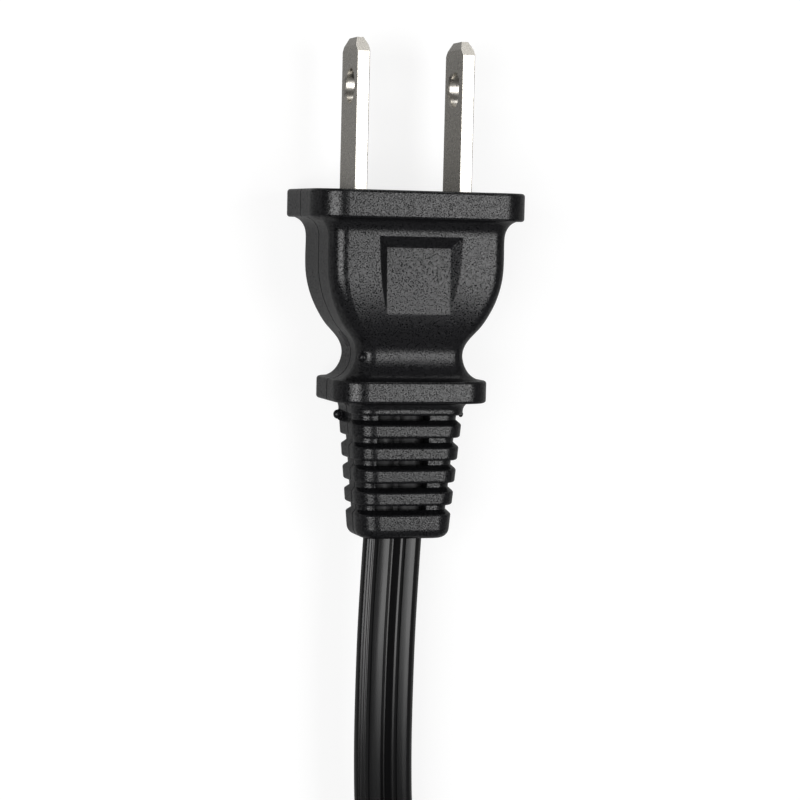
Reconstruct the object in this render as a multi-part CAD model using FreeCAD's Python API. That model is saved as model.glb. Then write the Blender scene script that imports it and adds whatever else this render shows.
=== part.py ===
"""Moulded two-blade plug on a flat twin cord, in millimetres.

The origin is the centre of the mating face. +Y points out along the blades, X runs from blade to blade,
and +Z is the broad front face with the thumb recess. The plug lies on its back: the surface under it is
the plane that the back edge of the flange touches. The rest of the cord is folded into a tied hank
behind the plug, and ends in two stripped and tinned leads.
"""
import FreeCAD, Part
import math
import os
from FreeCAD import Vector

# Blades, punched from brass strip
BLADE_SPACING = 12.7
BLADE_WIDTH = 6.35
BLADE_THICKNESS = 1.52
BLADE_LENGTH = 17.5
BLADE_EDGE_ROUND = 0.15
TIP_SIDE_CHAMFER = 1.65
TIP_FACE_CHAMFER = 0.37
TIP_FACE_CHAMFER_LENGTH = 0.95
DETENT_HOLE_DIAMETER = 4.0
DETENT_HOLE_HEIGHT = 12.0
DETENT_HOLE_CHAMFER = 0.2
SHANK_DEPTH = 6.4
SHANK_NOTCH = 0.7
SHANK_NOTCH_LENGTH = 1.6
NECK_STRIP_WIDTH = 2.2
NECK_STRIP_LENGTH = 2.0
CRIMP_LENGTH = 4.6
CRIMP_WALL = 0.75
CRIMP_SEAM = 0.25

# Hard inner bridge that holds the blades while the plug is moulded round them
BRIDGE_TOP = 2.2
BRIDGE_HEIGHT = 4.2
BRIDGE_SIDE_WALL = 1.6
BRIDGE_DEPTH = 9.0
BRIDGE_CORNER = 1.2

# Flange at the mating face
FLANGE_WIDTH = 25.7
FLANGE_DEPTH = 17.0
FLANGE_HEIGHT = 3.25
FLANGE_CORNER = 3.7
EDGE_ROUND = 0.35

# Grip: straight below the flange, then narrowing like a goblet to the neck
GRIP_WIDTH = 21.16
GRIP_DEPTH = 13.4
GRIP_CORNER = 1.9
FLARE_HEIGHT = 2.1
FLARE_LEDGE = 0.15
SHOULDER_DROP = 8.3
NECK_DROP = 18.8
NECK_WIDTH = 12.9
NECK_DEPTH = 9.5
NECK_HOLLOW_RADIUS = 2.7

# Collar between the grip and the strain relief
COLLAR_TOP = 21.8
COLLAR_HEIGHT = 2.6
COLLAR_WIDTH = 18.5
COLLAR_DEPTH = 13.4
COLLAR_CORNER = 3.4

# Thumb recess: a flat floor that runs out on the curve of the grip, with bevelled walls
RECESS_WIDTH = 7.6
RECESS_TOP = 6.5
RECESS_DEPTH = 1.0
RECESS_BEVEL = 1.15
RECESS_TILT = 2.75

# Strain relief: a tapered stem cut into ribs, open to the cord between them
STEM_TOP_WIDTH = 13.7
STEM_TOP_DEPTH = 9.9
STEM_END_WIDTH = 11.2
STEM_END_DEPTH = 8.0
STEM_CORNER = 2.4
STEM_LENGTH = 16.0
STEM_END_ROUND = 1.2
STEM_FILLET = 0.9
GAP_COUNT = 5
GAP_FIRST_DROP = 25.9
GAP_PITCH = 2.64
GAP_HEIGHT = 1.12
GAP_RIB_SLOPE = 0.5
GAP_DEPTH = 1.25
SIDE_NOTCH = 0.45
RIB_ROUND = 0.3
WINDOW_WIDTH = 6.3

# Flat twin cord
LOBE_DIAMETER = 3.5
WEB_THICKNESS = 1.9
CORD_SHIFT = -0.62
STRAND_DIAMETER = 1.3
STRIPPED_GAP = 0.8
SPLIT_LENGTH = 8.0

# Route of the cord after it leaves the strain relief, as points of its centre line up to the hank
LEAD_ROUTE = [
    (-0.98, -49.0, -0.15),
    (-0.94, -58.0, -0.9),
    (-0.58, -67.0, -2.0),
    (0.25, -76.0, -3.0),
    (3.8, -85.0, -3.75),
    (8.0, -94.0, -4.1),
    (9.7, -103.0, -4.15),
]
ARC_SHARE = 0.45

# Hank: two layers of three turns, cord on edge
HANK_CENTRE_X = -16.2
HANK_NEAR_END = -80.0
HANK_RUN = 70.0
HANK_INNER_RADIUS = 19.0
HANK_TURNS = 3
HANK_LAYERS = 2
TURN_PITCH = 3.6
LAYER_PITCH = 7.1

# Strap round the hank
TIE_THICKNESS = 0.8
TIE_WIDTH = 10.0
TIE_PLACE = 50.0
TIE_CORNER = 2.0

# Far end, lying on the hank: the cord slit in two cores that spring up a little, stripped and tinned
TAIL_START = 2.0
TAIL_LENGTH = 18.0
SLIT_LENGTH = 15.0
SLIT_SPREAD = 0.9
SLIT_LIFT = 3.2
TINNED_LENGTH = 10.0

# Worked out from the sizes above
SURFACE_Z = -FLANGE_DEPTH / 2
STEM_END_Y = -(COLLAR_TOP + COLLAR_HEIGHT + STEM_LENGTH)
CORD_EXIT = (CORD_SHIFT, STEM_END_Y, 0.0)
CRIMP_DIAMETER = STRAND_DIAMETER + 2 * CRIMP_WALL
CRIMP_TOP_Y = -(SHANK_DEPTH + NECK_STRIP_LENGTH)
CRIMP_END_Y = CRIMP_TOP_Y - CRIMP_LENGTH
INSULATION_TOP_Y = CRIMP_END_Y - STRIPPED_GAP
SPLIT_Y = INSULATION_TOP_Y - SPLIT_LENGTH
HANK_OUTER_RADIUS = HANK_INNER_RADIUS + (HANK_TURNS - 0.5) * TURN_PITCH
HANK_HOLE_RADIUS = HANK_INNER_RADIUS - TURN_PITCH / 2
HANK_ARC_Y = HANK_NEAR_END - HANK_OUTER_RADIUS
HANK_BOTTOM = SURFACE_Z + TIE_THICKNESS
HANK_TOP = HANK_BOTTOM + HANK_LAYERS * LAYER_PITCH
TAIL_X = HANK_CENTRE_X + HANK_OUTER_RADIUS - TURN_PITCH
TAIL_Z = HANK_TOP + LOBE_DIAMETER / 2
TAIL_START_Y = HANK_ARC_Y - TAIL_START

# How the shapes are drawn
BEYOND = 20.0
ROOTED = 0.4
RIB_ROOT = 1.2
FLARE_STEPS = 5
GOBLET_STEPS = 9


def rounded_outline(width, depth, corner, y, centre_x=0.0, centre_z=0.0):
    """Closed wire across the axis at y: a rectangle with round corners."""
    corner = min(corner, 0.49 * width, 0.49 * depth)
    half_x = width / 2 - corner
    half_z = depth / 2 - corner
    slant = corner * math.sqrt(0.5)
    arcs = []
    for side_x, side_z in ((1, 1), (-1, 1), (-1, -1), (1, -1)):
        middle_x = centre_x + side_x * half_x
        middle_z = centre_z + side_z * half_z
        on_side = Vector(middle_x + side_x * corner, y, middle_z)
        on_bend = Vector(middle_x + side_x * slant, y, middle_z + side_z * slant)
        on_face = Vector(middle_x, y, middle_z + side_z * corner)
        ends = (on_side, on_bend, on_face) if side_x == side_z else (on_face, on_bend, on_side)
        arcs.append(Part.Arc(*ends).toShape())
    edges = []
    for arc, following in zip(arcs, arcs[1:] + arcs[:1]):
        edges.append(arc)
        edges.append(Part.makeLine(arc.lastVertex(True).Point, following.firstVertex(True).Point))
    return Part.Wire(edges)


def bar(width, depth, corner, top, bottom):
    """Straight bar along the axis with round corners."""
    face = Part.Face(rounded_outline(width, depth, corner, top))
    return face.extrude(Vector(0, bottom - top, 0))


def block(x_range, y_range, z_range):
    """Box between two limits on each axis."""
    low = Vector(min(x_range), min(y_range), min(z_range))
    high = Vector(max(x_range), max(y_range), max(z_range))
    size = high - low
    return Part.makeBox(size.x, size.y, size.z, low)


def rim_edges(shape, y):
    """Edges that lie wholly in the plane at y."""
    return [e for e in shape.Edges if abs(e.BoundBox.YMin - y) < 1e-4 and abs(e.BoundBox.YMax - y) < 1e-4]


def rod(diameter, x, z, top, bottom):
    """Round rod along the axis."""
    return Part.makeCylinder(diameter / 2, top - bottom, Vector(x, bottom, z), Vector(0, 1, 0))


def blade(x):
    """Blade with its detent hole, bevelled tip, notched shank, neck and crimp barrel for the strands."""
    half = BLADE_WIDTH / 2
    shoulder = BLADE_LENGTH - TIP_SIDE_CHAMFER
    outline = [
        (-half, -SHANK_DEPTH),
        (half, -SHANK_DEPTH),
        (half, shoulder),
        (half - TIP_SIDE_CHAMFER, BLADE_LENGTH),
        (TIP_SIDE_CHAMFER - half, BLADE_LENGTH),
        (-half, shoulder),
    ]
    left = x - BLADE_THICKNESS / 2
    points = [Vector(left, y, z) for z, y in outline]
    strip = Part.Face(Part.makePolygon(points + points[:1])).extrude(Vector(BLADE_THICKNESS, 0, 0))
    long_edges = [e for e in strip.Edges if e.BoundBox.YLength > BLADE_LENGTH / 2]
    strip = strip.makeFillet(BLADE_EDGE_ROUND, long_edges)
    for side in (-1, 1):
        strip = strip.cut(tip_bevel(x, side))
    hole_start = Vector(left, DETENT_HOLE_HEIGHT, 0)
    hole = Part.makeCylinder(DETENT_HOLE_DIAMETER / 2, BLADE_THICKNESS, hole_start, Vector(1, 0, 0))
    strip = strip.cut(hole)
    hole_rims = [e for e in strip.Edges if isinstance(e.Curve, Part.Circle) and e.Closed]
    strip = strip.makeChamfer(DETENT_HOLE_CHAMFER, hole_rims)
    notch_middle = -(BRIDGE_TOP + BRIDGE_HEIGHT / 2)
    notch_ends = (notch_middle - SHANK_NOTCH_LENGTH / 2, notch_middle + SHANK_NOTCH_LENGTH / 2)
    across = (x - BLADE_THICKNESS, x + BLADE_THICKNESS)
    for side in (-1, 1):
        strip = strip.cut(block(across, notch_ends, (side * (half - SHANK_NOTCH), side * BLADE_WIDTH)))
    return strip.fuse(crimp(x)).removeSplitter()


def tip_bevel(x, side):
    """Wedge that bevels one broad face of the blade at its tip."""
    face = x + side * BLADE_THICKNESS / 2
    corners = [
        Vector(face, BLADE_LENGTH - TIP_FACE_CHAMFER_LENGTH, -BLADE_WIDTH),
        Vector(face - side * TIP_FACE_CHAMFER, BLADE_LENGTH, -BLADE_WIDTH),
        Vector(face, BLADE_LENGTH, -BLADE_WIDTH),
    ]
    return Part.Face(Part.makePolygon(corners + corners[:1])).extrude(Vector(0, 0, 2 * BLADE_WIDTH))


def crimp(x):
    """Neck of the shank and the barrel closed round the strands, with its seam."""
    half_strip = BLADE_THICKNESS / 2
    half_neck = NECK_STRIP_WIDTH / 2
    neck = block((x - half_strip, x + half_strip), (-SHANK_DEPTH, CRIMP_TOP_Y), (-half_neck, half_neck))
    barrel = rod(CRIMP_DIAMETER, x, 0, CRIMP_TOP_Y, CRIMP_END_Y)
    bore_top = CRIMP_TOP_Y - CRIMP_WALL
    barrel = barrel.cut(rod(STRAND_DIAMETER, x, 0, bore_top, CRIMP_END_Y))
    seam = block((x - CRIMP_SEAM / 2, x + CRIMP_SEAM / 2), (bore_top, CRIMP_END_Y), (0, CRIMP_DIAMETER))
    return neck.fuse(barrel.cut(seam))


def strands(x):
    """Stripped copper strands, from the bottom of the crimp to the end of the insulation."""
    return rod(STRAND_DIAMETER, x, 0, CRIMP_TOP_Y - CRIMP_WALL, INSULATION_TOP_Y)


def blade_bridge(blades):
    """Block that the blades pass through."""
    width = BLADE_SPACING + BLADE_THICKNESS + 2 * BRIDGE_SIDE_WALL
    bridge = bar(width, BRIDGE_DEPTH, BRIDGE_CORNER, -BRIDGE_TOP, -(BRIDGE_TOP + BRIDGE_HEIGHT))
    for piece in blades:
        bridge = bridge.cut(piece)
    return bridge


def cord_outline(x, y, z):
    """Section of the flat cord across the axis: two round lobes joined by a web."""
    radius = LOBE_DIAMETER / 2
    half_web = min(WEB_THICKNESS, 0.95 * LOBE_DIAMETER) / 2
    notch = radius - math.sqrt(radius ** 2 - half_web ** 2)
    right_top = Vector(x + notch, y, z + half_web)
    right_bottom = Vector(x + notch, y, z - half_web)
    left_top = Vector(x - notch, y, z + half_web)
    left_bottom = Vector(x - notch, y, z - half_web)
    edges = [
        Part.Arc(right_top, Vector(x + LOBE_DIAMETER, y, z), right_bottom).toShape(),
        Part.makeLine(right_bottom, left_bottom),
        Part.Arc(left_bottom, Vector(x - LOBE_DIAMETER, y, z), left_top).toShape(),
        Part.makeLine(left_top, right_top),
    ]
    return Part.Wire(edges)


def split_core(blade_x, lobe_x):
    """One insulated core swinging over from its blade to its lobe of the cord in two equal arcs."""
    top = Vector(blade_x, INSULATION_TOP_Y, 0)
    end = Vector(lobe_x, SPLIT_Y, 0)
    middle = (top + end) * 0.5
    aside = abs(blade_x - lobe_x)
    radius = (SPLIT_LENGTH ** 2 + aside ** 2) / (4 * aside)
    quarter_turn = math.asin(SPLIT_LENGTH / 2 / radius) / 2
    bow = radius * (1 - math.cos(quarter_turn))
    fall = radius * math.sin(quarter_turn)
    inward = math.copysign(1, lobe_x - blade_x)
    upper = Part.Arc(top, top + Vector(inward * bow, -fall, 0), middle).toShape()
    lower = Part.Arc(middle, end - Vector(inward * bow, -fall, 0), end).toShape()
    section = Part.Wire(Part.makeCircle(LOBE_DIAMETER / 2, top, Vector(0, 1, 0)))
    return Part.Wire([upper, lower]).makePipeShell([section], True, False)


def cord_root():
    """The cord inside the plug: flat through the strain relief, then slit into its two cores."""
    flat = Part.Face(cord_outline(CORD_SHIFT, SPLIT_Y, 0)).extrude(Vector(0, STEM_END_Y - SPLIT_Y, 0))
    for side in (-1, 1):
        core = split_core(side * BLADE_SPACING / 2, CORD_SHIFT + side * LOBE_DIAMETER / 2)
        flat = flat.fuse(core)
    return flat.removeSplitter()


def wall_place(drop, top_half, neck_half):
    """Half size of the grip at a distance below the mating face: straight, bowed out, then hollowed."""
    if drop <= SHOULDER_DROP:
        return top_half
    inset = top_half - neck_half
    fall = NECK_DROP - SHOULDER_DROP
    turn = 2 * math.atan2(inset, fall)
    both_radii = fall / math.sin(turn)
    bow_radius = both_radii - NECK_HOLLOW_RADIUS
    bow_fall = bow_radius * math.sin(turn)
    below = drop - SHOULDER_DROP
    if below <= bow_fall:
        return top_half - bow_radius + math.sqrt(bow_radius ** 2 - below ** 2)
    above = NECK_DROP - drop
    return neck_half + NECK_HOLLOW_RADIUS - math.sqrt(NECK_HOLLOW_RADIUS ** 2 - above ** 2)


def blend(first, second, share):
    """Section sizes (width, depth, corner) part of the way from one section to another."""
    return [a + share * (b - a) for a, b in zip(first, second)]


def grip():
    """Loft from inside the flange to inside the collar: flare, goblet, neck and flare."""
    ledge = 2 * (EDGE_ROUND + FLARE_LEDGE)
    under_flange = (FLANGE_WIDTH - ledge, FLANGE_DEPTH - ledge, FLANGE_CORNER)
    at_top = (GRIP_WIDTH, GRIP_DEPTH, GRIP_CORNER)
    at_neck = (NECK_WIDTH, NECK_DEPTH, GRIP_CORNER)
    on_collar = (COLLAR_WIDTH - 2 * EDGE_ROUND, COLLAR_DEPTH - 2 * EDGE_ROUND, COLLAR_CORNER)
    stations = [(FLANGE_HEIGHT - ROOTED, under_flange)]
    for step in range(1, FLARE_STEPS + 1):
        turn = math.pi / 2 * step / FLARE_STEPS
        drop = FLANGE_HEIGHT + FLARE_HEIGHT * (1 - math.cos(turn))
        stations.append((drop, blend(under_flange, at_top, math.sin(turn))))
    goblet_top = FLANGE_HEIGHT + FLARE_HEIGHT
    for step in range(1, GOBLET_STEPS + 1):
        drop = goblet_top + (NECK_DROP - goblet_top) * step / GOBLET_STEPS
        width = 2 * wall_place(drop, GRIP_WIDTH / 2, NECK_WIDTH / 2)
        depth = 2 * wall_place(drop, GRIP_DEPTH / 2, NECK_DEPTH / 2)
        stations.append((drop, (width, depth, GRIP_CORNER)))
    for step in range(1, FLARE_STEPS):
        turn = math.pi / 2 * step / FLARE_STEPS
        drop = NECK_DROP + (COLLAR_TOP - NECK_DROP) * math.sin(turn)
        stations.append((drop, blend(at_neck, on_collar, 1 - math.cos(turn))))
    stations.append((COLLAR_TOP + ROOTED, on_collar))
    outlines = [rounded_outline(*section, -drop) for drop, section in stations]
    return Part.makeLoft(outlines, True, False)


def soft_bar(width, depth, corner, top, height):
    """Bar with a small round on both rims, as the flange and the collar have."""
    piece = bar(width, depth, corner, -top, -(top + height))
    return piece.makeFillet(EDGE_ROUND, rim_edges(piece, -top) + rim_edges(piece, -(top + height)))


def stem_outline(drop, inset_x=0.0, inset_z=0.0):
    """Outline of the strain relief at a distance below the mating face, or of its core inside the ribs."""
    share = (drop - COLLAR_TOP - COLLAR_HEIGHT) / STEM_LENGTH
    width = STEM_TOP_WIDTH + share * (STEM_END_WIDTH - STEM_TOP_WIDTH)
    depth = STEM_TOP_DEPTH + share * (STEM_END_DEPTH - STEM_TOP_DEPTH)
    return rounded_outline(width - 2 * inset_x, depth - 2 * inset_z, STEM_CORNER - inset_x, -drop)


def rib(top_drop, end_drop, end_round):
    """One rib: its upper face slopes out from the core, and both rims are rounded."""
    outlines = [
        stem_outline(top_drop - RIB_ROOT * GAP_RIB_SLOPE, RIB_ROOT * SIDE_NOTCH, RIB_ROOT * GAP_DEPTH),
        stem_outline(top_drop),
        stem_outline(end_drop),
    ]
    piece = Part.makeLoft(outlines, True, True)
    piece = piece.makeFillet(RIB_ROUND, rim_edges(piece, -top_drop))
    return piece.makeFillet(end_round, rim_edges(piece, -end_drop))


def stem():
    """Strain relief: a tapered core, ribs round it, and windows to the cord between the ribs."""
    first = COLLAR_TOP + COLLAR_HEIGHT
    last = -STEM_END_Y
    gaps = [GAP_FIRST_DROP + index * GAP_PITCH for index in range(GAP_COUNT)]
    core_ends = [stem_outline(drop, SIDE_NOTCH, GAP_DEPTH) for drop in (first, last - STEM_END_ROUND)]
    pieces = [rib(first, gaps[0], RIB_ROUND)]
    for drop, following in zip(gaps, gaps[1:]):
        pieces.append(rib(drop + GAP_HEIGHT, following, RIB_ROUND))
    pieces.append(rib(gaps[-1] + GAP_HEIGHT, last, STEM_END_ROUND))
    ribbed = Part.makeLoft(core_ends, True, True).multiFuse(pieces)
    half_window = WINDOW_WIDTH / 2
    window_x = (CORD_SHIFT - half_window, CORD_SHIFT + half_window)
    half_core = STEM_TOP_DEPTH / 2 - GAP_DEPTH
    for drop in gaps:
        window_y = (-drop, -(drop + GAP_HEIGHT - GAP_RIB_SLOPE))
        ribbed = ribbed.cut(block(window_x, window_y, (-half_core, half_core)))
    return ribbed


def stem_flare():
    """Small fillet where the strain relief leaves the collar."""
    top_drop = COLLAR_TOP + COLLAR_HEIGHT
    swells = [(top_drop - ROOTED, STEM_FILLET)]
    for step in range(1, FLARE_STEPS + 1):
        turn = math.pi / 2 * step / FLARE_STEPS
        swells.append((top_drop + STEM_FILLET * (1 - math.cos(turn)), STEM_FILLET * (1 - math.sin(turn))))
    outlines = [stem_outline(drop, -swell, -swell) for drop, swell in swells]
    return Part.makeLoft(outlines, True, False)


def thumb_recess():
    """Cutter for the thumb recess: bevelled walls round a flat floor, open towards the neck."""
    floor_z = GRIP_DEPTH / 2 - RECESS_DEPTH
    end = -NECK_DROP
    outlines = []
    for rise in (0.0, 2.0 * RECESS_DEPTH):
        spread = rise * RECESS_BEVEL / RECESS_DEPTH
        half = RECESS_WIDTH / 2 + spread
        top = -RECESS_TOP + spread
        z = floor_z + rise
        corners = [Vector(-half, top, z), Vector(half, top, z), Vector(half, end, z), Vector(-half, end, z)]
        outlines.append(Part.makePolygon(corners + corners[:1]))
    cutter = Part.makeLoft(outlines, True, True)
    cutter.rotate(Vector(0, -RECESS_TOP, floor_z), Vector(1, 0, 0), -RECESS_TILT)
    return cutter


def plug_body(inner_pieces):
    """Soft plastic moulded in one shot round the blades and the cord."""
    flange = soft_bar(FLANGE_WIDTH, FLANGE_DEPTH, FLANGE_CORNER, 0.0, FLANGE_HEIGHT)
    collar = soft_bar(COLLAR_WIDTH, COLLAR_DEPTH, COLLAR_CORNER, COLLAR_TOP, COLLAR_HEIGHT)
    body = grip().cut(thumb_recess())
    body = flange.multiFuse([body, collar, stem(), stem_flare()])
    for piece in inner_pieces:
        body = body.cut(piece)
    return body.removeSplitter()


def rounded_path(points):
    """Straight runs joined by tangent arcs, each as large as its two runs allow; prints the radii."""
    edges = []
    radii = []
    start = points[0]
    for before, corner, after in zip(points, points[1:], points[2:]):
        into = (corner - before).normalize()
        out = (after - corner).normalize()
        reach = ARC_SHARE * min(corner.distanceToPoint(before), corner.distanceToPoint(after))
        half_turn = into.getAngle(out) / 2
        radius = reach / math.tan(half_turn)
        inward = (out - into).normalize()
        first = corner - into * reach
        last = corner + out * reach
        middle = corner + inward * (radius / math.cos(half_turn) - radius)
        edges.append(Part.LineSegment(start, first).toShape())
        edges.append(Part.Arc(first, middle, last).toShape())
        radii.append(radius)
        start = last
    edges.append(Part.LineSegment(start, points[-1]).toShape())
    print("cord bend radii:", ", ".join(f"{radius:.0f}" for radius in radii))
    return Part.Wire(edges)


def cord_lead(hank):
    """Flat cord from the strain relief to the hank, lying on its broad side."""
    points = [Vector(*point) for point in [CORD_EXIT] + LEAD_ROUTE]
    path = rounded_path(points)
    section = cord_outline(*CORD_EXIT)
    sweep = Part.BRepOffsetAPI.MakePipeShell(path)
    sweep.setBiNormalMode(Vector(0, 0, 1))
    sweep.add(section)
    sweep.build()
    sweep.makeSolid()
    tube = sweep.shape()
    expected = Part.Face(section).Area * path.Length
    print(f"cord lead: length {path.Length:.1f}, volume {tube.Volume:.1f}, section x length {expected:.1f}")
    return tube.cut(hank)


def hank_outline(radius, z):
    """Outline of a turn: two straight runs joined by half circles."""
    near = Vector(HANK_CENTRE_X, HANK_ARC_Y, z)
    far = near - Vector(0, HANK_RUN, 0)
    aside = Vector(radius, 0, 0)
    along = Vector(0, radius, 0)
    edges = [
        Part.Arc(near + aside, near + along, near - aside).toShape(),
        Part.makeLine(near - aside, far - aside),
        Part.Arc(far - aside, far - along, far + aside).toShape(),
        Part.makeLine(far + aside, near + aside),
    ]
    return Part.Wire(edges)


def cord_hank():
    """Outer shape of the folded turns."""
    height = Vector(0, 0, HANK_TOP - HANK_BOTTOM)
    outer = Part.Face(hank_outline(HANK_OUTER_RADIUS, HANK_BOTTOM)).extrude(height)
    hole = Part.Face(hank_outline(HANK_HOLE_RADIUS, HANK_BOTTOM)).extrude(height)
    return outer.cut(hole)


def hank_tie():
    """Strap that goes once round the hank."""
    middle_z = (HANK_TOP + HANK_BOTTOM) / 2
    width = 2 * HANK_OUTER_RADIUS
    height = HANK_TOP - HANK_BOTTOM
    start = HANK_ARC_Y - TIE_PLACE + TIE_WIDTH / 2
    along = Vector(0, -TIE_WIDTH, 0)
    outside = rounded_outline(
        width + 2 * TIE_THICKNESS, height + 2 * TIE_THICKNESS, TIE_CORNER, start, HANK_CENTRE_X, middle_z
    )
    inside = block(
        (HANK_CENTRE_X - width / 2, HANK_CENTRE_X + width / 2),
        (start, start - TIE_WIDTH),
        (HANK_BOTTOM, HANK_TOP),
    )
    return Part.Face(outside).extrude(along).cut(inside)


def cord_tail():
    """Last stretch of the flat cord, lying on the hank."""
    return Part.Face(cord_outline(TAIL_X, TAIL_START_Y, TAIL_Z)).extrude(Vector(0, -TAIL_LENGTH, 0))


def tail_ends(side):
    """Start and end of one slit core, which leans outwards and up."""
    start = Vector(TAIL_X + side * LOBE_DIAMETER / 2, TAIL_START_Y - TAIL_LENGTH, TAIL_Z)
    return start, start + Vector(side * SLIT_SPREAD, -SLIT_LENGTH, SLIT_LIFT)


def tail_core(side):
    """One slit core of the far end, leaning away from the other and cut off square."""
    start, end = tail_ends(side)
    lean = end - start
    section = Part.Wire(Part.makeCircle(LOBE_DIAMETER / 2, start, Vector(0, 1, 0)))
    core = Part.Face(section).extrude(lean + lean)
    cut_off = Part.makeCylinder(BEYOND, 2 * lean.Length, end, lean)
    return core.cut(cut_off)


def tinned_end(side):
    """Stripped strands of the far end, dipped in solder."""
    start, end = tail_ends(side)
    return Part.makeCylinder(STRAND_DIAMETER / 2, TINNED_LENGTH, end, end - start)


def main():
    """Build every piece and write one file for each."""
    left_x = -BLADE_SPACING / 2
    right_x = BLADE_SPACING / 2
    blades = [blade(left_x), blade(right_x)]
    strand_pair = [strands(left_x), strands(right_x)]
    bridge = blade_bridge(blades)
    root = cord_root()
    hank = cord_hank()
    pieces = {
        "plug_body": plug_body(blades + strand_pair + [bridge, root]),
        "blade_left": blades[0],
        "blade_right": blades[1],
        "blade_bridge": bridge,
        "strands_left": strand_pair[0],
        "strands_right": strand_pair[1],
        "cord_root": root,
        "cord_lead": cord_lead(hank),
        "cord_hank": hank,
        "hank_tie": hank_tie(),
        "cord_tail": cord_tail(),
        "tail_core_left": tail_core(-1),
        "tail_core_right": tail_core(1),
        "tinned_end_left": tinned_end(-1),
        "tinned_end_right": tinned_end(1),
    }
    os.makedirs("parts", exist_ok=True)
    for name, shape in pieces.items():
        print(f"{name}: valid {shape.isValid()}, solids {len(shape.Solids)}, volume {shape.Volume:.1f}")
        shape.exportStep(f"parts/{name}.step")


main()
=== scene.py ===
"""Looks of a moulded two-blade plug on a flat twin cord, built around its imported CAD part.

Lengths are in metres, in the frame of the part: the origin is the centre of the mating face, +Y points
out along the blades and +Z is the front face with the thumb recess.
"""
import math

import bmesh
import bpy
from mathutils import Matrix, Vector


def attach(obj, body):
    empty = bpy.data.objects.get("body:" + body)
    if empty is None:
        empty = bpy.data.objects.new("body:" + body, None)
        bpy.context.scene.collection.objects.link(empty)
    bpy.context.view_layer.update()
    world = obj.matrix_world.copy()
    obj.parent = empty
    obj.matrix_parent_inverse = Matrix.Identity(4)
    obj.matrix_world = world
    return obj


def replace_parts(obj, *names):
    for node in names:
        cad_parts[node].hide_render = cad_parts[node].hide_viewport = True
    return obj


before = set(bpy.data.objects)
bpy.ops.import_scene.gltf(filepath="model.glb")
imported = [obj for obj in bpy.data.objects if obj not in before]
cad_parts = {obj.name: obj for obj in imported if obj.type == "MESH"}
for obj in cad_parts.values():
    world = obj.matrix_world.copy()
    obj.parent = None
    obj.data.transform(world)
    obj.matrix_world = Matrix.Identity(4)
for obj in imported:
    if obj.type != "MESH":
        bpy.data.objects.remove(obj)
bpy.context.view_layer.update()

bl_info = {
    "name": "Two-blade plug",
    "version": (1, 0, 0),
    "blender": (4, 5, 0),
    "location": "View3D > Sidebar > Plug",
    "description": "Builds the looks of a moulded two-blade plug and its flat cord around a CAD part",
    "category": "Object",
}

SURFACE_Z = -0.0085
BODY = "root"

# Route of the cord from the strain relief to the hank
LEAD_ROUTE = [
    (-0.00062, -0.0404, 0.0),
    (-0.00104, -0.0490, 0.0),
    (-0.00114, -0.0580, -0.0002),
    (-0.00105, -0.0670, -0.0005),
    (-0.00050, -0.0760, -0.0011),
    (0.0034, -0.0850, -0.0026),
    (0.0080, -0.0940, -0.0039),
    (0.0097, -0.1030, -0.00415),
]

# Small marks of moulding: place, and half size along each axis
FLASH_MARKS = {
    "flash_nub": ((-0.00680, -0.0263, -0.0030), (0.00050, 0.00055, 0.00050)),
    "flash_tail": ((-0.00638, -0.0263, -0.0030), (0.00055, 0.00080, 0.00040)),
    "flash_sliver": ((0.0070, -0.02595, 0.0015), (0.00030, 0.00035, 0.00012)),
    "gate_mark": ((-0.00600, -0.01915, 0.00412), (0.00058, 0.00058, 0.00058)),
}

# Parting line of the mould, drawn as painted shade (a band without sheen): its height on the sides, and half
# its width
PARTING_Z = 0.0008
PARTING_HALF_WIDTH = 0.0001

# Share of the grain's spacing in depth, and the radius that moulded edges are eased by
GRAIN_DEPTH_SHARE = 0.4
EASED_EDGE = 0.00015

# Strap round the hank: its place, the half size of what it holds, and its section as (across, outward)
STRAP_Y = -0.158
STRAP_CENTRE = (-0.0162, -0.0006)
STRAP_HALF = (0.02805, 0.00715)
STRAP_BEND = 0.0019
STRAP_SECTION = [
    (-0.0050, 0.00015), (-0.00485, 0.00070), (-0.0044, 0.00080), (-0.0040, 0.00066), (0.0040, 0.00066),
    (0.0044, 0.00080), (0.00485, 0.00070), (0.0050, 0.00015), (0.0048, 0.0), (-0.0048, 0.0),
]

# The strap's end lying over its start: place along it and share of its width, and how far the last is sunk
STRAP_LAP = 0.00066
STRAP_FLAP = [
    (-0.0340, 0.55), (-0.0338, 0.72), (-0.0333, 0.88), (-0.0325, 0.97), (-0.0315, 1.0), (-0.0120, 1.0),
    (-0.0110, 1.0),
]
STRAP_SUNK = 0.0006

# Stripped leads of the far end: where each leaves its core, and the way it points
LEADS = {
    "tinned_end_left": ((0.00555, -0.143, 0.01145), (-0.0009, -0.015, 0.0032)),
    "tinned_end_right": ((0.01085, -0.143, 0.01145), (0.0009, -0.015, 0.0032)),
}
LEAD_LENGTH = 0.010
LEAD_RADIUS = 0.00061
LEAD_STRANDS = 7
STRAND_RELIEF = 0.00004
STRAND_LAY = 0.0025

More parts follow.
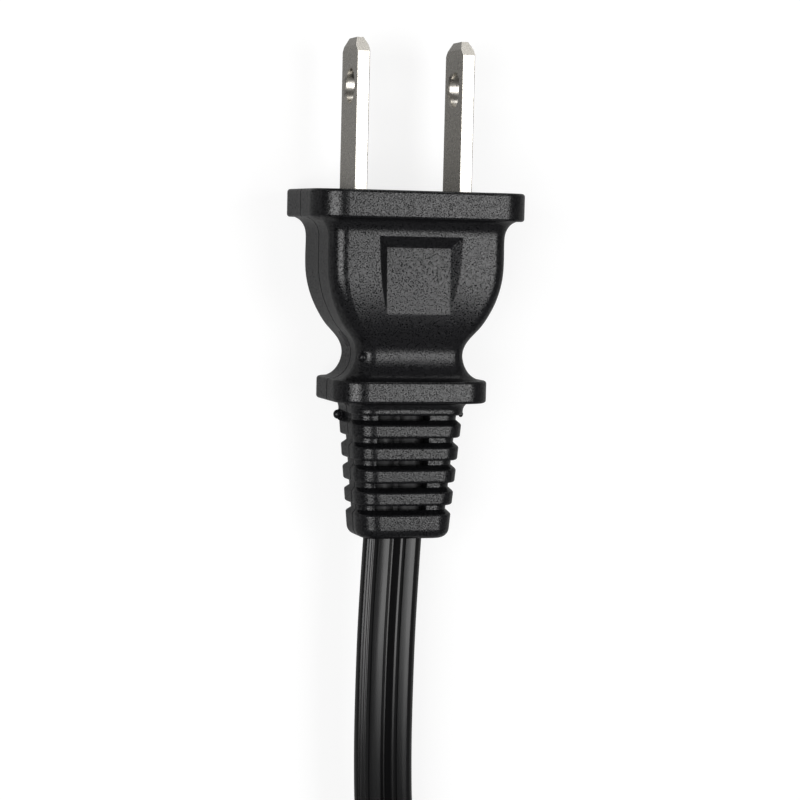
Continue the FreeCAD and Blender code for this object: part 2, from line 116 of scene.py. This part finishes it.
# Upper half of the cord's section from its ridged edge to its plain edge, as (place across, height)
CORD_TOP = [
    (0.00350, 0.00000), (0.00347, 0.00034), (0.00342, 0.00051), (0.00329, 0.00065), (0.00328, 0.00085),
    (0.00312, 0.00096), (0.00307, 0.00115), (0.00289, 0.00122), (0.00283, 0.00138), (0.00274, 0.00143),
    (0.00269, 0.00152), (0.00259, 0.00152), (0.00254, 0.00140), (0.00222, 0.00147), (0.00216, 0.00168),
    (0.00180, 0.00172), (0.00145, 0.00174), (0.00115, 0.00174), (0.00082, 0.00174), (0.00076, 0.00170),
    (0.00020, 0.00084), (0.00006, 0.00084), (-0.00053, 0.00152), (-0.00060, 0.00160), (-0.00082, 0.00160),
    (-0.00090, 0.00142), (-0.00116, 0.00146), (-0.00122, 0.00170), (-0.00180, 0.00174), (-0.00235, 0.00174),
    (-0.00250, 0.00168), (-0.00280, 0.00154), (-0.00307, 0.00130), (-0.00330, 0.00092), (-0.00345, 0.00050),
]
LOBE_RADIUS = 0.00175
CORD_GIRTH = 0.017

# Where a turn of the hank crosses over to the next, as shares of the turn: start and length
CROSS_LOWER = (0.875, 0.085)
CROSS_UP = (0.765, 0.11)
CROSS_UPPER = (0.56, 0.19)
CROSS_LAST = (0.34, 0.21)

# Stage: what the lights and the camera point at, and how far the lights stand
LIGHT_AIM = (0.0, -0.042, 0.0)
LIGHT_DISTANCE = 0.5
CAMERA_AIM = (-0.00006, -0.0244, 0.0)
FLOOR_HALF = 3.0


def linear(hex_colour):
    """Scene-linear colour of an sRGB hex value."""
    channels = [int(hex_colour[i:i + 2], 16) / 255 for i in (1, 3, 5)]
    return [c / 12.92 if c <= 0.04045 else ((c + 0.055) / 1.055) ** 2.4 for c in channels] + [1.0]


def smooth(share):
    """Eases a share from 0 to 1."""
    share = min(max(share, 0.0), 1.0)
    return share * share * (3 - 2 * share)


def add_node(tree, kind, sockets=None, **settings):
    """Adds a node with its settings; a socket takes a value or a link from another socket."""
    node = tree.nodes.new(kind)
    for name, value in settings.items():
        setattr(node, name, value)
    for name, value in (sockets or {}).items():
        if isinstance(value, bpy.types.NodeSocket):
            tree.links.new(value, node.inputs[name])
        else:
            node.inputs[name].default_value = value
    return node


def new_tree(name):
    """A material without nodes, and its node tree."""
    material = bpy.data.materials.new(name)
    material.use_nodes = True
    material.node_tree.nodes.clear()
    return material, material.node_tree


def finish_surface(tree, sockets):
    """Principled surface with these sockets, linked to the output."""
    shader = add_node(tree, "ShaderNodeBsdfPrincipled", sockets)
    add_node(tree, "ShaderNodeOutputMaterial", {"Surface": shader.outputs["BSDF"]})


def spread(tree, value, low, high):
    """Map of a texture's middle range onto low to high."""
    node = add_node(tree, "ShaderNodeMapRange", {"Value": value, "From Min": 0.3, "From Max": 0.7,
                                                 "To Min": low, "To Max": high})
    return node.outputs["Result"]


def grained_pvc(settings):
    """Soft black PVC from a spark-eroded mould: a charcoal sheen broken into fine sparkling grain.

    The real grain is finer. It is drawn as coarse as it needs to show, and longer in depth, so that it shows
    on the sides too.
    """
    material, tree = new_tree("soft_pvc_spark_eroded_mould")
    place = add_node(tree, "ShaderNodeTexCoord").outputs["Object"]
    cells = add_node(tree, "ShaderNodeMapping", {"Vector": place, "Scale": (1.0, 1.0, GRAIN_DEPTH_SHARE)})
    grain = add_node(tree, "ShaderNodeTexNoise", {"Vector": cells.outputs["Vector"],
                                                  "Scale": 1 / settings.grain_size,
                                                  "Detail": 2.0, "Roughness": 0.6}).outputs["Fac"]
    eased = add_node(tree, "ShaderNodeBevel", {"Radius": EASED_EDGE}, samples=6).outputs["Normal"]
    bump = add_node(tree, "ShaderNodeBump", {"Strength": 1.0, "Distance": settings.grain_depth,
                                             "Height": grain, "Normal": eased})
    height = add_node(tree, "ShaderNodeSeparateXYZ", {"Vector": place}).outputs["Z"]
    # on the parting line the sheen drops to nothing: painted shade that draws the mould's parting groove as a
    # dark line
    parting_shade_mask = add_node(tree, "ShaderNodeMath", {0: height, 1: PARTING_Z, 2: PARTING_HALF_WIDTH},
                       operation="COMPARE")
    sheen = add_node(tree, "ShaderNodeMapRange", {"Value": parting_shade_mask.outputs["Value"], "To Max": 0.0,
                                                  "To Min": spread(tree, grain, 0.03, 0.58)})
    tone = add_node(tree, "ShaderNodeMix", {"Factor": spread(tree, grain, 0.0, 1.0),
                                            6: linear("#060607"), 7: linear("#202022")}, data_type="RGBA")
    finish_surface(tree, {
        "Base Color": tone.outputs[2],
        "Specular IOR Level": sheen.outputs["Result"],
        "Roughness": settings.pvc_roughness,
        "IOR": 1.53,
        "Normal": bump.outputs["Normal"],
    })
    return material


def plated_blade(settings):
    """Nickel plating on rolled brass: satin grey broad faces, with a faint mottle left by tumbling."""
    material, tree = new_tree("nickel_plated_brass_tumbled")
    place = add_node(tree, "ShaderNodeTexCoord").outputs["Object"]
    mottle = add_node(tree, "ShaderNodeTexNoise", {"Vector": place, "Scale": 1 / 0.0006,
                                                   "Detail": 3.0}).outputs["Fac"]
    bump = add_node(tree, "ShaderNodeBump", {"Strength": 0.3, "Distance": 0.000006, "Height": mottle})
    finish_surface(tree, {
        "Base Color": linear("#cfcbc3"),
        "Metallic": 1.0,
        "Roughness": spread(tree, mottle, settings.blade_roughness - 0.05, settings.blade_roughness + 0.05),
        "Normal": bump.outputs["Normal"],
    })
    return material


def cord_pvc():
    """Extruded PVC insulation: glossy black, with die lines along the cord that break up its highlights."""
    material, tree = new_tree("pvc_extruded_glossy")
    along = add_node(tree, "ShaderNodeTexCoord").outputs["UV"]
    stretched = add_node(tree, "ShaderNodeMapping", {"Vector": along, "Scale": (1 / 0.0004, 1 / 0.02, 1.0)})
    lines = add_node(tree, "ShaderNodeTexNoise", {"Vector": stretched.outputs["Vector"], "Scale": 1.0,
                                                  "Detail": 2.0}).outputs["Fac"]
    bump = add_node(tree, "ShaderNodeBump", {"Strength": 0.5, "Distance": 0.00001, "Height": lines})
    finish_surface(tree, {
        "Base Color": linear("#0f0f10"),
        "Specular IOR Level": 0.38,
        "Roughness": spread(tree, lines, 0.16, 0.26),
        "IOR": 1.53,
        "Normal": bump.outputs["Normal"],
    })
    return material


def root_pvc_painted_light():
    """Cord insulation inside the strain relief, a lighter grey than the cord: painted light for the light
    reaching into the gaps, and rougher in patches.
    """
    material, tree = new_tree("pvc_extruded_painted_light")
    place = add_node(tree, "ShaderNodeTexCoord").outputs["Object"]
    rough_patches = add_node(tree, "ShaderNodeTexNoise", {"Vector": place, "Scale": 1 / 0.0009,
                                                 "Detail": 3.0}).outputs["Fac"]
    finish_surface(tree, {
        # the light grey base is painted light, standing in for light that reaches into the strain relief's gaps
        "Base Color": linear("#3a3a3b"),
        "Specular IOR Level": 0.3,
        "Roughness": spread(tree, rough_patches, 0.35, 0.6),
        "IOR": 1.53,
    })
    return material


def drawn_copper():
    """Bare drawn copper strands: warm metal, a little uneven."""
    material, tree = new_tree("copper_drawn_stranded")
    place = add_node(tree, "ShaderNodeTexCoord").outputs["Object"]
    patches = add_node(tree, "ShaderNodeTexNoise", {"Vector": place, "Scale": 1 / 0.0005}).outputs["Fac"]
    finish_surface(tree, {
        "Base Color": linear("#b87a55"),
        "Metallic": 1.0,
        "Roughness": spread(tree, patches, 0.24, 0.36),
    })
    return material


def solder_dipped():
    """Tin solder frozen over copper strands: bright grey metal with soft dull patches."""
    material, tree = new_tree("tin_solder_dipped")
    place = add_node(tree, "ShaderNodeTexCoord").outputs["Object"]
    patches = add_node(tree, "ShaderNodeTexNoise", {"Vector": place, "Scale": 1 / 0.0008}).outputs["Fac"]
    finish_surface(tree, {
        "Base Color": linear("#c9c8c4"),
        "Metallic": 1.0,
        "Roughness": spread(tree, patches, 0.18, 0.38),
    })
    return material


def bridge_plastic():
    """Glass-filled nylon, injection moulded: dull black with faint flow clouds."""
    material, tree = new_tree("glass_filled_nylon_moulded")
    place = add_node(tree, "ShaderNodeTexCoord").outputs["Object"]
    clouds = add_node(tree, "ShaderNodeTexNoise", {"Vector": place, "Scale": 1 / 0.002}).outputs["Fac"]
    finish_surface(tree, {
        "Base Color": linear("#2a2a2b"),
        "Roughness": spread(tree, clouds, 0.5, 0.65),
        "IOR": 1.53,
    })
    return material


def strap_fabric():
    """Woven nylon tape: dark threads in a plain weave of half-millimetre pitch."""
    material, tree = new_tree("nylon_tape_woven")
    along = add_node(tree, "ShaderNodeTexCoord").outputs["UV"]
    weave = add_node(tree, "ShaderNodeTexChecker", {"Vector": along, "Scale": 1 / 0.0005})
    warp = add_node(tree, "ShaderNodeTexWave", {"Vector": along, "Scale": 1 / 0.005, "Distortion": 0.3},
                    bands_direction="X")
    bump = add_node(tree, "ShaderNodeBump", {"Strength": 0.6, "Distance": 0.00008,
                                             "Height": weave.outputs["Fac"]})
    finish_surface(tree, {
        "Base Color": linear("#2b2b2e"),
        "Roughness": spread(tree, warp.outputs["Fac"], 0.7, 0.9),
        "Sheen Weight": 0.3,
        "Normal": bump.outputs["Normal"],
    })
    return material


def dress(name, material):
    """Gives a CAD node its material and slot."""
    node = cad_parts[name]
    node.data.materials.clear()
    node.data.materials.append(material)
    return node


def add_mesh(name, vertices, faces, material, sharp=30.0):
    """A new piece riding on the body, smooth except at edges sharper than the given angle."""
    mesh = bpy.data.meshes.new(name)
    mesh.from_pydata([tuple(v) for v in vertices], [], faces)
    shell = bmesh.new()
    shell.from_mesh(mesh)
    bmesh.ops.recalc_face_normals(shell, faces=shell.faces)
    shell.to_mesh(mesh)
    shell.free()
    mesh.shade_smooth()
    mesh.set_sharp_from_angle(angle=math.radians(sharp))
    mesh.materials.append(material)
    piece = bpy.data.objects.new(name, mesh)
    bpy.context.scene.collection.objects.link(piece)
    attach(piece, BODY)
    return piece


def tube_faces(rings, sides, closed=False):
    """Quads between rings of vertices, with end caps unless the tube is closed on itself."""
    faces = []
    for ring in range(rings if closed else rings - 1):
        following = (ring + 1) % rings
        for side in range(sides):
            other = (side + 1) % sides
            faces.append((ring * sides + side, ring * sides + other,
                          following * sides + other, following * sides + side))
    if not closed:
        faces.append(tuple(range(sides)))
        faces.append(tuple((rings - 1) * sides + side for side in range(sides)))
    return faces


def hank_points(cord):
    """Control points of the folded turns, from the first right-hand run to the cord's end on top."""
    slots = [(turn, 0) for turn in range(cord.turns)]
    slots += [(turn, 1) for turn in reversed(range(cord.turns))]
    radii = [cord.outer_radius - turn * cord.turn_pitch for turn, layer in slots]
    heights = [cord.first_layer + layer * cord.layer_pitch for turn, layer in slots]
    radii.append(cord.outer_radius - cord.turn_pitch / 2)
    heights.append(heights[-1] + cord.layer_pitch)
    last = len(slots) - 1
    shrink = math.cos(math.pi / 16)
    points = []
    for turn in range(len(slots)):
        for station in range(22):
            progress, angle, along = racetrack(station)
            if turn < cord.turns - 1:
                start, length = CROSS_LOWER
            elif turn == cord.turns - 1:
                start, length = CROSS_UP
            elif turn < last:
                start, length = CROSS_UPPER
            else:
                start, length = CROSS_LAST
            share = smooth((progress - start) / length)
            radius = radii[turn] + share * (radii[turn + 1] - radii[turn])
            height = heights[turn] + share * (heights[turn + 1] - heights[turn])
            bend = radius / shrink if along in (0.0, 1.0) else radius
            points.append((cord.centre_x + bend * math.cos(angle),
                           cord.near_y - along * cord.run + bend * math.sin(angle), height))
    flat_end = ((0.0, heights[-1]), (0.008, heights[-1] - 0.0006), (0.014, cord.end_height),
                (0.020, cord.end_height))
    for past, height in flat_end:
        points.append((cord.centre_x + radii[-1], cord.near_y - past, height))
    return points


def racetrack(station):
    """Progress round a turn, polar angle, and share of the run for one of its 22 stations."""
    if station < 3:
        return station / 12, 0.0, station / 3
    if station < 11:
        step = station - 3
        return 0.25 + step / 32, -math.pi * step / 8, 1.0
    if station < 14:
        step = station - 11
        return 0.5 + step / 12, math.pi, 1.0 - step / 3
    step = station - 14
    return 0.75 + step / 32, math.pi * (1 - step / 8), 0.0


def spline_points(points):
    """Points of the NURBS through the cord's route, read from a curve without bevel."""
    curve = bpy.data.curves.new("cord_route", "CURVE")
    curve.dimensions = "3D"
    curve.resolution_u = 6
    spline = curve.splines.new("NURBS")
    spline.points.add(len(points) - 1)
    for point, place in zip(spline.points, points):
        point.co = (*place, 1.0)
    spline.order_u = 3
    spline.use_endpoint_u = True
    carrier = bpy.data.objects.new("cord_route", curve)
    bpy.context.scene.collection.objects.link(carrier)
    line = bpy.data.meshes.new_from_object(carrier)
    places = [vertex.co.copy() for vertex in line.vertices]
    bpy.data.objects.remove(carrier)
    bpy.data.curves.remove(curve)
    bpy.data.meshes.remove(line)
    return places


def cord_section():
    """Closed section of the cord: the moulded upper half, and plain lobes below."""
    below = []
    for centre, start, end in ((-LOBE_RADIUS, 180, 303), (LOBE_RADIUS, 237, 349)):
        for step in range(8):
            angle = math.radians(start + (end - start) * step / 7)
            below.append((centre + LOBE_RADIUS * math.cos(angle), LOBE_RADIUS * math.sin(angle)))
    return CORD_TOP + below


class PlugFinishSettings(bpy.types.PropertyGroup):
    """Finishes of the moulded body and the blades."""
    grain_size: bpy.props.FloatProperty(
        name="Grain size", description="Spacing of the mould's spark-eroded grain", default=0.00016,
        unit="LENGTH", precision=6)
    grain_depth: bpy.props.FloatProperty(
        name="Grain depth", description="Height of the grain", default=0.000026, unit="LENGTH", precision=6)
    pvc_roughness: bpy.props.FloatProperty(
        name="PVC roughness", description="Roughness of the moulded PVC between the grains", default=0.18,
        subtype="FACTOR")
    blade_roughness: bpy.props.FloatProperty(
        name="Blade roughness", description="Roughness of the plated blades", default=0.28, subtype="FACTOR")


class PlugCordSettings(bpy.types.PropertyGroup):
    """The flat cord and how it is folded."""
    length: bpy.props.FloatProperty(
        name="Length", description="Real length of the cord", default=1.8, unit="LENGTH")
    width: bpy.props.FloatProperty(
        name="Width", description="Width across both lobes", default=0.007, unit="LENGTH", precision=4)
    twist_start: bpy.props.FloatProperty(
        name="Twist start", description="Distance from the plug where the cord starts to turn on edge",
        default=0.037, unit="LENGTH", precision=4)
    twist_end: bpy.props.FloatProperty(
        name="Twist end", description="Distance from the plug where the cord is on edge", default=0.062,
        unit="LENGTH", precision=4)
    end_twist: bpy.props.FloatProperty(
        name="End twist", description="Length at the far end over which the cord lies down flat again",
        default=0.03, unit="LENGTH", precision=4)
    turns: bpy.props.IntProperty(name="Turns", description="Turns in each layer of the hank", default=3)
    centre_x: bpy.props.FloatProperty(
        name="Hank centre", description="Middle of the hank across the plug's axis", default=-0.0162,
        unit="LENGTH", precision=4)
    near_y: bpy.props.FloatProperty(
        name="Near fold", description="Centre of the fold nearest the plug", default=-0.108, unit="LENGTH")
    run: bpy.props.FloatProperty(
        name="Run", description="Straight length of a turn", default=0.070, unit="LENGTH")
    outer_radius: bpy.props.FloatProperty(
        name="Outer radius", description="Radius of the outer turn's folds", default=0.0262, unit="LENGTH",
        precision=4)
    turn_pitch: bpy.props.FloatProperty(
        name="Turn pitch", description="Spacing of turns in a layer", default=0.0036, unit="LENGTH",
        precision=4)
    first_layer: bpy.props.FloatProperty(
        name="First layer", description="Height of the lower layer's centre line", default=-0.00415,
        unit="LENGTH", precision=5)
    layer_pitch: bpy.props.FloatProperty(
        name="Layer pitch", description="Spacing of the layers", default=0.0071, unit="LENGTH", precision=4)
    end_height: bpy.props.FloatProperty(
        name="End height", description="Height of the flat end on top of the hank", default=0.00825,
        unit="LENGTH", precision=5)


class PlugStageSettings(bpy.types.PropertyGroup):
    """Camera and light."""
    turn: bpy.props.FloatProperty(
        name="Turn", description="Turn of the camera about the plug's axis", default=math.radians(17.49),
        subtype="ANGLE")
    tilt: bpy.props.FloatProperty(
        name="Tilt", description="Tilt of the camera towards the blades", default=math.radians(4.09),
        subtype="ANGLE")
    roll: bpy.props.FloatProperty(
        name="Roll", description="Roll of the camera", default=math.radians(1.36), subtype="ANGLE")
    distance: bpy.props.FloatProperty(
        name="Distance", description="Distance from the camera to the plug", default=0.28, unit="LENGTH")
    lens: bpy.props.FloatProperty(
        name="Lens", description="Focal length for a 36 mm sensor, in millimetres", default=107.32)
    right_power: bpy.props.FloatProperty(
        name="Right power", description="Power of the soft box above and to the right", default=1.14,
        unit="POWER")
    left_power: bpy.props.FloatProperty(
        name="Left power", description="Power of the soft box at the left", default=1.6, unit="POWER")
    tip_power: bpy.props.FloatProperty(
        name="Tip power", description="Power of the card in front of the blade tips", default=0.2,
        unit="POWER")


class PLUG_OT_body(bpy.types.Operator):
    """Gives the moulded body its grained finish and adds the flash left at the parting line"""
    bl_idname = "plug.body"
    bl_label = "Moulded body"

    def execute(self, context):
        pvc = grained_pvc(context.scene.plug_finish)
        dress("plug_body", pvc)
        for name, (place, half) in FLASH_MARKS.items():
            add_mark(name, place, half, pvc)
        return {"FINISHED"}


class PLUG_OT_blades(bpy.types.Operator):
    """Gives the blades their plating"""
    bl_idname = "plug.blades"
    bl_label = "Blades"

    def execute(self, context):
        plating = plated_blade(context.scene.plug_finish)
        for name in ("blade_left", "blade_right"):
            dress(name, plating)
        return {"FINISHED"}


class PLUG_OT_inner(bpy.types.Operator):
    """Gives the pieces inside the body their materials"""
    bl_idname = "plug.inner"
    bl_label = "Inner pieces"

    def execute(self, context):
        dress("blade_bridge", bridge_plastic())
        copper = drawn_copper()
        for name in ("strands_left", "strands_right"):
            dress(name, copper)
        return {"FINISHED"}


class PLUG_OT_far_end(bpy.types.Operator):
    """Makes the strap round the hank and the tinned strands of the far end"""
    bl_idname = "plug.far_end"
    bl_label = "Strap and far end"

    def execute(self, context):
        strap = add_strap(strap_fabric())
        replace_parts(strap, "hank_tie")
        solder = solder_dipped()
        for name, (start, way) in LEADS.items():
            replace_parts(add_lead(name.replace("end", "strands"), start, way, solder), name)
        return {"FINISHED"}


class PLUG_OT_cord(bpy.types.Operator):
    """Makes the flat cord from the strain relief through the hank to its end"""
    bl_idname = "plug.cord"
    bl_label = "Cord"

    def execute(self, context):
        settings = context.scene.plug_cord
        pvc = cord_pvc()
        dress("cord_root", root_pvc_painted_light())
        for name in ("tail_core_left", "tail_core_right"):
            dress(name, pvc)
        places = spline_points(LEAD_ROUTE + hank_points(settings))
        run = [0.0]
        for before, after in zip(places, places[1:]):
            run.append(run[-1] + (after - before).length)
        print(f"cord: {len(places)} points, {run[-1]:.3f} m")
        section = cord_section()
        vertices = []
        for index, place in enumerate(places):
            ahead = places[min(index + 1, len(places) - 1)] - places[max(index - 1, 0)]
            across = ahead.cross(Vector((0, 0, 1))).normalized()
            upward = across.cross(ahead).normalized()
            turn_in = smooth((run[index] - settings.twist_start) / (settings.twist_end - settings.twist_start))
            turn_out = smooth((run[-1] - run[index]) / settings.end_twist - 0.2)
            angle = math.pi / 2 * turn_in * turn_out
            wide = across * math.cos(angle) + upward * math.sin(angle)
            thick = upward * math.cos(angle) - across * math.sin(angle)
            vertices += [place + wide * w + thick * h for w, h in section]
        cord = add_mesh("cord", vertices, tube_faces(len(places), len(section)), pvc)
        lay_uv(cord.data, len(section), run)
        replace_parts(cord, "cord_lead", "cord_hank", "cord_tail")
        return {"FINISHED"}


def add_mark(name, place, half, material):
    """A small rounded lump on the moulding."""
    shell = bmesh.new()
    bmesh.ops.create_icosphere(shell, subdivisions=3, radius=1.0)
    vertices = [Vector(place) + Vector([c * h for c, h in zip(v.co, half)]) for v in shell.verts]
    faces = [[v.index for v in face.verts] for face in shell.faces]
    shell.free()
    return add_mesh(name, vertices, faces, material, 180.0)


def add_strap(material):
    """Woven strap once round the hank, with its end lying over its start."""
    centre_x, centre_z = STRAP_CENTRE
    bends = []
    for side_x, side_z, start in ((1, 1, 0), (-1, 1, 90), (-1, -1, 180), (1, -1, 270)):
        for step in range(9):
            angle = math.radians(start + step * 90 / 8)
            out = Vector((math.cos(angle), 0, math.sin(angle)))
            middle = Vector((centre_x + side_x * (STRAP_HALF[0] - STRAP_BEND), STRAP_Y,
                             centre_z + side_z * (STRAP_HALF[1] - STRAP_BEND)))
            bends.append((middle + out * STRAP_BEND, out))
    vertices = []
    for place, out in bends:
        vertices += [place + Vector((0, across, 0)) + out * lift for across, lift in STRAP_SECTION]
    sides = len(STRAP_SECTION)
    faces = tube_faces(len(bends), sides, closed=True)
    first = len(vertices)
    top = centre_z + STRAP_HALF[1] + STRAP_LAP
    for x, share in STRAP_FLAP:
        base = top - STRAP_SUNK if x == STRAP_FLAP[-1][0] else top
        vertices += [Vector((x, STRAP_Y + across * share, base + lift)) for across, lift in STRAP_SECTION]
    faces += [tuple(first + index for index in face) for face in tube_faces(len(STRAP_FLAP), sides)]
    strap = add_mesh("strap", vertices, faces, material, 40.0)
    layer = strap.data.uv_layers.new(name="weave")
    for loop in strap.data.loops:
        place = strap.data.vertices[loop.vertex_index].co
        layer.data[loop.index].uv = (place.x + place.z, place.y)
    return strap


def add_lead(name, start, way, material):
    """Twisted strands soldered together: seven ridges winding round a lead with a rounded tip."""
    along = Vector(way).normalized()
    across = along.cross(Vector((0, 0, 1))).normalized()
    upward = across.cross(along)
    sides, rings = 42, 44
    vertices = []
    for ring in range(rings):
        run = LEAD_LENGTH * ring / (rings - 1)
        left = (LEAD_LENGTH - run) / LEAD_RADIUS
        tip = math.sqrt(max(0.04, 1 - (1 - left) ** 2)) if left < 1 else 1.0
        for side in range(sides):
            angle = 2 * math.pi * side / sides
            ridge = STRAND_RELIEF * math.cos(LEAD_STRANDS * (angle - run / STRAND_LAY))
            out = across * math.cos(angle) + upward * math.sin(angle)
            vertices.append(Vector(start) + along * run + out * (LEAD_RADIUS + ridge) * tip)
    return add_mesh(name, vertices, tube_faces(rings, sides), material, 50.0)


def lay_uv(mesh, sides, run):
    """Lays a map on a tube: across the section in U and along the tube in V, in metres."""
    layer = mesh.uv_layers.new(name="along")
    pitch = CORD_GIRTH / sides
    for polygon in mesh.polygons:
        indices = [mesh.loops[loop].vertex_index for loop in polygon.loop_indices]
        wraps = {0, sides - 1} <= {index % sides for index in indices}
        for loop, index in zip(polygon.loop_indices, indices):
            side = index % sides
            if wraps and side == 0:
                side = sides
            layer.data[loop].uv = (side * pitch, run[index // sides])


class PLUG_OT_stage(bpy.types.Operator):
    """Sets up the floor, the lights and the camera"""
    bl_idname = "plug.stage"
    bl_label = "Stage"

    def execute(self, context):
        settings = context.scene.plug_stage
        add_floor()
        add_world(context.scene)
        add_soft_box("right_box", (0.454, 0.0, 0.891), (0.285, 0.26), settings.right_power)
        add_soft_box("left_box", (-0.602, 0.0, 0.799), (0.285, 0.306), settings.left_power)
        add_soft_box("tip_card", (0.30, 0.95, 0.08), (0.20, 0.12), settings.tip_power)
        add_camera(context.scene, settings)
        context.scene.view_settings.view_transform = "Standard"
        return {"FINISHED"}


def add_floor():
    """White sweep under the plug, which takes its shadow: white to the camera, dim in reflections."""
    material, tree = new_tree("matte_white_sweep")
    path = add_node(tree, "ShaderNodeLightPath").outputs
    bent = add_node(tree, "ShaderNodeMath", {0: path["Is Glossy Ray"], 1: path["Is Transmission Ray"]},
                    operation="MAXIMUM")
    mirrored = add_node(tree, "ShaderNodeMapRange", {"Value": bent.outputs["Value"], "To Max": 0.08})
    glow = add_node(tree, "ShaderNodeMapRange", {"Value": path["Is Camera Ray"], "To Max": 0.80,
                                                 "To Min": mirrored.outputs["Result"]})
    finish_surface(tree, {
        "Base Color": linear("#8a8a8a"),
        "Roughness": 0.9,
        "Specular IOR Level": 0.0,
        "Emission Color": linear("#ffffff"),
        "Emission Strength": glow.outputs["Result"],
    })
    mesh = bpy.data.meshes.new("floor")
    corners = [(x * FLOOR_HALF, y * FLOOR_HALF, SURFACE_Z) for x, y in ((-1, -1), (1, -1), (1, 1), (-1, 1))]
    mesh.from_pydata(corners, [], [(0, 1, 2, 3)])
    mesh.materials.append(material)
    floor = bpy.data.objects.new("floor", mesh)
    bpy.context.scene.collection.objects.link(floor)


def add_world(scene):
    """Even surroundings: white to the camera, and a dim studio to the plug."""
    world = bpy.data.worlds.new("white_surroundings")
    world.use_nodes = True
    tree = world.node_tree
    tree.nodes.clear()
    path = add_node(tree, "ShaderNodeLightPath")
    level = add_node(tree, "ShaderNodeMapRange", {"Value": path.outputs["Is Camera Ray"], "To Min": 0.13,
                                                  "To Max": 1.0})
    sky = add_node(tree, "ShaderNodeBackground", {"Color": linear("#ffffff"),
                                                  "Strength": level.outputs["Result"]})
    add_node(tree, "ShaderNodeOutputWorld", {"Surface": sky.outputs["Background"]})
    scene.world = world


def add_soft_box(name, way, size, power):
    """Soft box or bounce card that stands this way from the plug; size is its length along it and its width."""
    light = bpy.data.lights.new(name, "AREA")
    light.shape = "RECTANGLE"
    light.size, light.size_y = size
    light.energy = power
    lamp = bpy.data.objects.new(name, light)
    away = Vector(way).normalized()
    lamp.location = Vector(LIGHT_AIM) + away * LIGHT_DISTANCE
    lamp.rotation_euler = (-away).to_track_quat("-Z", "Y").to_euler()
    bpy.context.scene.collection.objects.link(lamp)


def add_camera(scene, settings):
    """Camera above the front face, turned to the left and tilted to the blades."""
    back = Vector((-math.sin(settings.turn) * math.cos(settings.tilt), math.sin(settings.tilt),
                   math.cos(settings.turn) * math.cos(settings.tilt)))
    right = Vector((0, 1, 0)).cross(back).normalized()
    upward = back.cross(right)
    right, upward = (right * math.cos(settings.roll) + upward * math.sin(settings.roll),
                     upward * math.cos(settings.roll) - right * math.sin(settings.roll))
    lens = bpy.data.cameras.new("camera")
    lens.lens = settings.lens
    lens.sensor_width = 36.0
    lens.clip_start = 0.01
    lens.clip_end = 20.0
    camera = bpy.data.objects.new("camera", lens)
    place = Vector(CAMERA_AIM) + back * settings.distance
    turned = Matrix((right, upward, back)).transposed().to_4x4()
    camera.matrix_world = Matrix.Translation(place) @ turned
    scene.collection.objects.link(camera)
    scene.camera = camera


class PLUG_PT_panel(bpy.types.Panel):
    """Builds the plug piece by piece"""
    bl_idname = "PLUG_PT_panel"
    bl_label = "Two-blade plug"
    bl_space_type = "VIEW_3D"
    bl_region_type = "UI"
    bl_category = "Plug"

    def draw(self, context):
        layout = self.layout
        for settings in (context.scene.plug_finish, context.scene.plug_cord, context.scene.plug_stage):
            box = layout.box()
            for name in settings.bl_rna.properties.keys():
                if name not in ("rna_type", "name"):
                    box.prop(settings, name)
        for operator in OPERATORS:
            layout.operator(operator.bl_idname)


OPERATORS = (PLUG_OT_body, PLUG_OT_blades, PLUG_OT_inner, PLUG_OT_far_end, PLUG_OT_cord, PLUG_OT_stage)
GROUPS = {"plug_finish": PlugFinishSettings, "plug_cord": PlugCordSettings, "plug_stage": PlugStageSettings}


def register():
    """Registers the settings, the operators and the panel."""
    for name, group in GROUPS.items():
        bpy.utils.register_class(group)
        setattr(bpy.types.Scene, name, bpy.props.PointerProperty(type=group))
    for kind in (*OPERATORS, PLUG_PT_panel):
        bpy.utils.register_class(kind)


def unregister():
    """Takes back what register added."""
    for kind in (PLUG_PT_panel, *reversed(OPERATORS)):
        bpy.utils.unregister_class(kind)
    for name, group in GROUPS.items():
        delattr(bpy.types.Scene, name)
        bpy.utils.unregister_class(group)


def main():
    """Builds everything in order and notes the sizes."""
    register()
    bpy.ops.plug.body()
    bpy.ops.plug.blades()
    bpy.ops.plug.inner()
    bpy.ops.plug.far_end()
    bpy.ops.plug.cord()
    bpy.ops.plug.stage()


if __name__ == "__main__":
    main()
